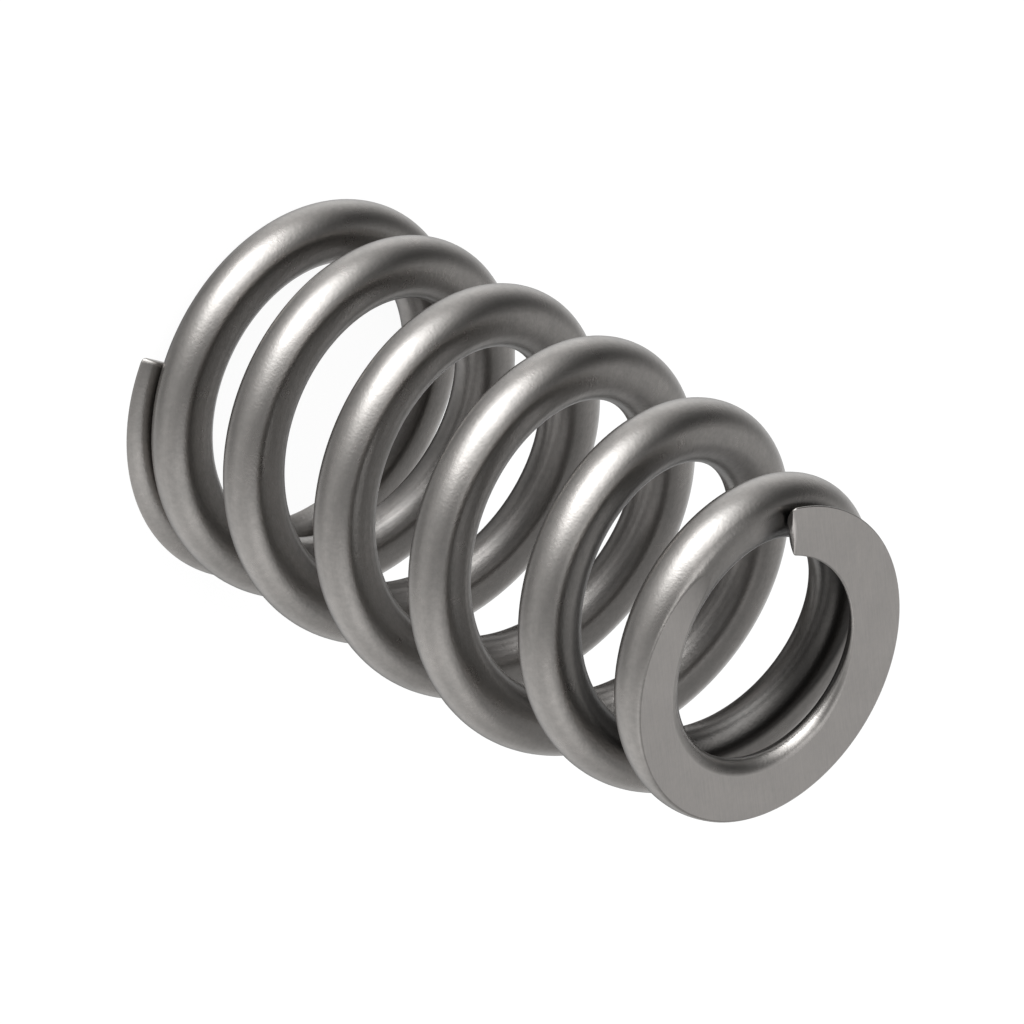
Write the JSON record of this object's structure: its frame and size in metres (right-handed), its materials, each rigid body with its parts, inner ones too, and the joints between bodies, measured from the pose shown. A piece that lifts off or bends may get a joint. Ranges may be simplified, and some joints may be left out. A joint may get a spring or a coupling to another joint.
{
  "type": "valve spring",
  "caption": "Tapered valve spring of oval steel wire, closed and ground flat at both ends, with a narrower upper end.",
  "frame": {"origin": "centre of the large end's ground face, on the spring's axis", "axes": "+Z along the spring's axis, from the large end to the small end; the small end's tip lies near +X"},
  "size_m": [0.0301, 0.0302, 0.054],
  "materials": {
    "spring_steel": "fine satin, shot-peened, with smoother ground ends"
  },
  "bodies": {
    "root": {"valve_spring": "spring_steel"}
  },
  "joints": []
}
